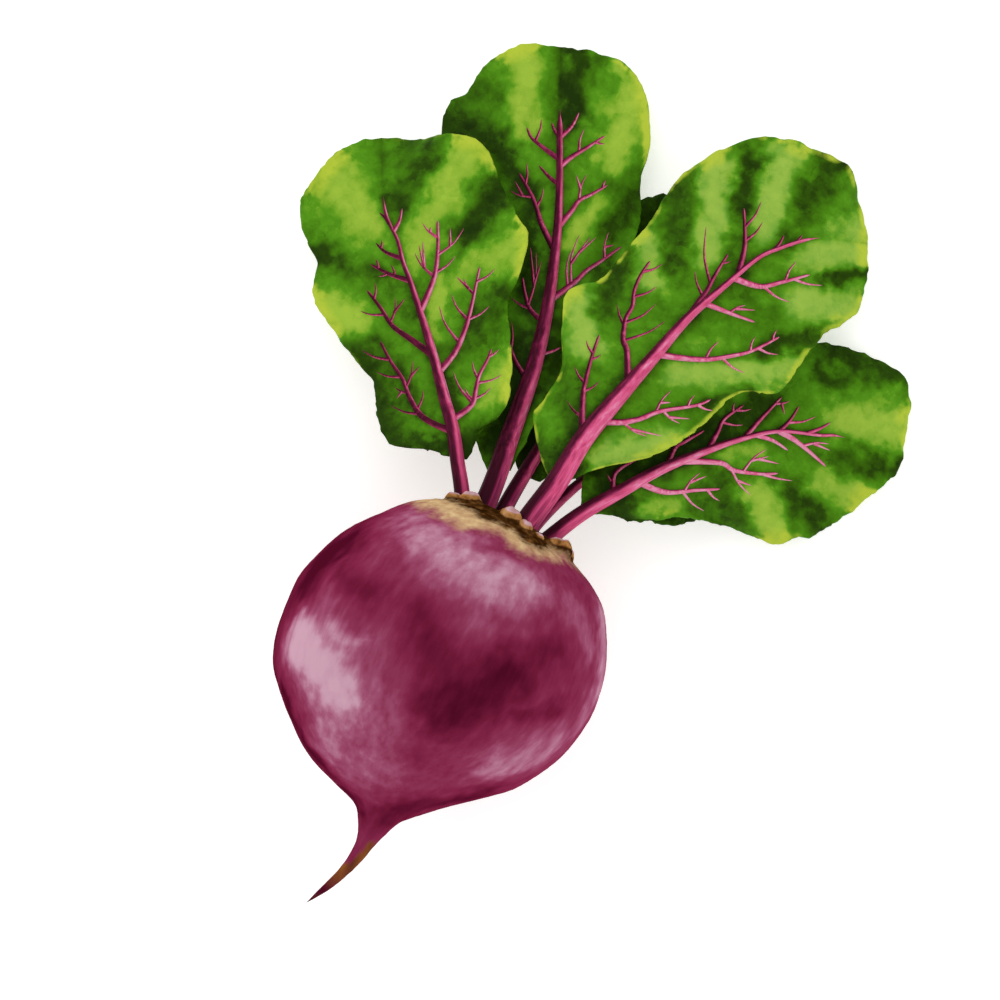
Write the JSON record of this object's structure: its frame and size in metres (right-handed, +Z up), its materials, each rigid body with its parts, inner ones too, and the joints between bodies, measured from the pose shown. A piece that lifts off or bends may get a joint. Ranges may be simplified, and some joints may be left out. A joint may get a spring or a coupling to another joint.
{
  "type": "beetroot",
  "caption": "Beetroot with its leaves on, lying on its side: a round dark red root with a long thin tail, a corky crown and a spray of waved green leaves on pink stalks.",
  "frame": {"origin": "the middle of the small flat spot under the bulb, on the surface that the beetroot rests on", "axes": "+Y from the tail towards the leaves, level; +Z up, away from the surface; +X to the right, seen from above with the leaves pointing away"},
  "size_m": [0.1837, 0.2535, 0.0892],
  "materials": {
    "root_skin": "satin",
    "stalk": "satin",
    "leaf": "satin"
  },
  "bodies": {
    "root": {"root": "root_skin", "stalk_1": "stalk", "stalk_2": "stalk", "stalk_3": "stalk", "stalk_4": "stalk", "stalk_5": "stalk", "stalk_6": "stalk", "blade_1": "leaf", "blade_2": "leaf", "blade_3": "leaf", "blade_4": "leaf", "blade_5": "leaf", "blade_6": "leaf"}
  },
  "joints": []
}
